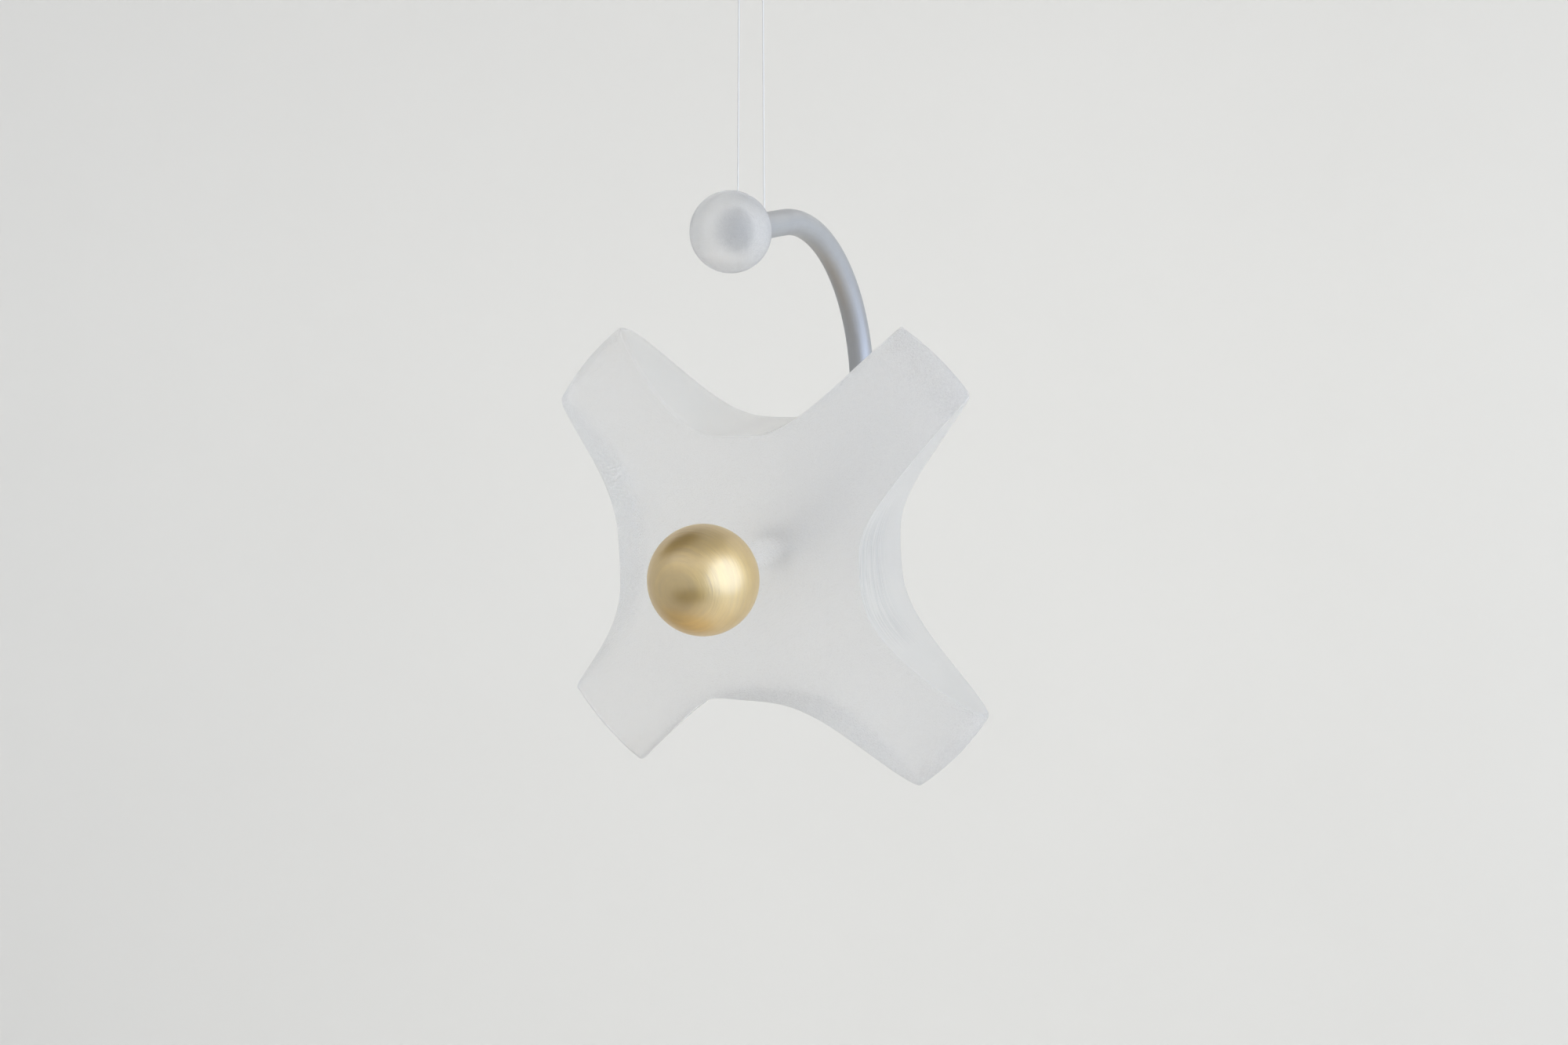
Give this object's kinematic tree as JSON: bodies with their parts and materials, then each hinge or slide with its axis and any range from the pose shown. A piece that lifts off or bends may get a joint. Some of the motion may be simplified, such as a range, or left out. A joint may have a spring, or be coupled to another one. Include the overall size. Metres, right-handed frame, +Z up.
{
  "type": "star ornament",
  "caption": "Frosted star ornament on a bent rod hook, with a brass ball in front and a frosted ball at the hook's end, hung tipped forward from a loop of thread.",
  "frame": {"origin": "middle of the ceiling button's top face, where the ornament hangs", "axes": "+Z up along the thread, -Y towards the brass ball, and the bent rod lies in the YZ plane"},
  "size_m": [0.083, 0.079, 0.1448],
  "materials": {
    "frosted_acrylic": "frosted, see-through only as a blur",
    "satin_aluminium": "satin",
    "brushed_brass": "finely brushed",
    "clear_nylon": "clear monofilament",
    "white_plastic": "matt"
  },
  "bodies": {
    "root": {"star": "frosted_acrylic", "hook_rod": "satin_aluminium", "brass_ball": "brushed_brass", "frosted_ball": "frosted_acrylic", "hanging_thread": "clear_nylon", "ceiling_button": "white_plastic"}
  },
  "joints": []
}
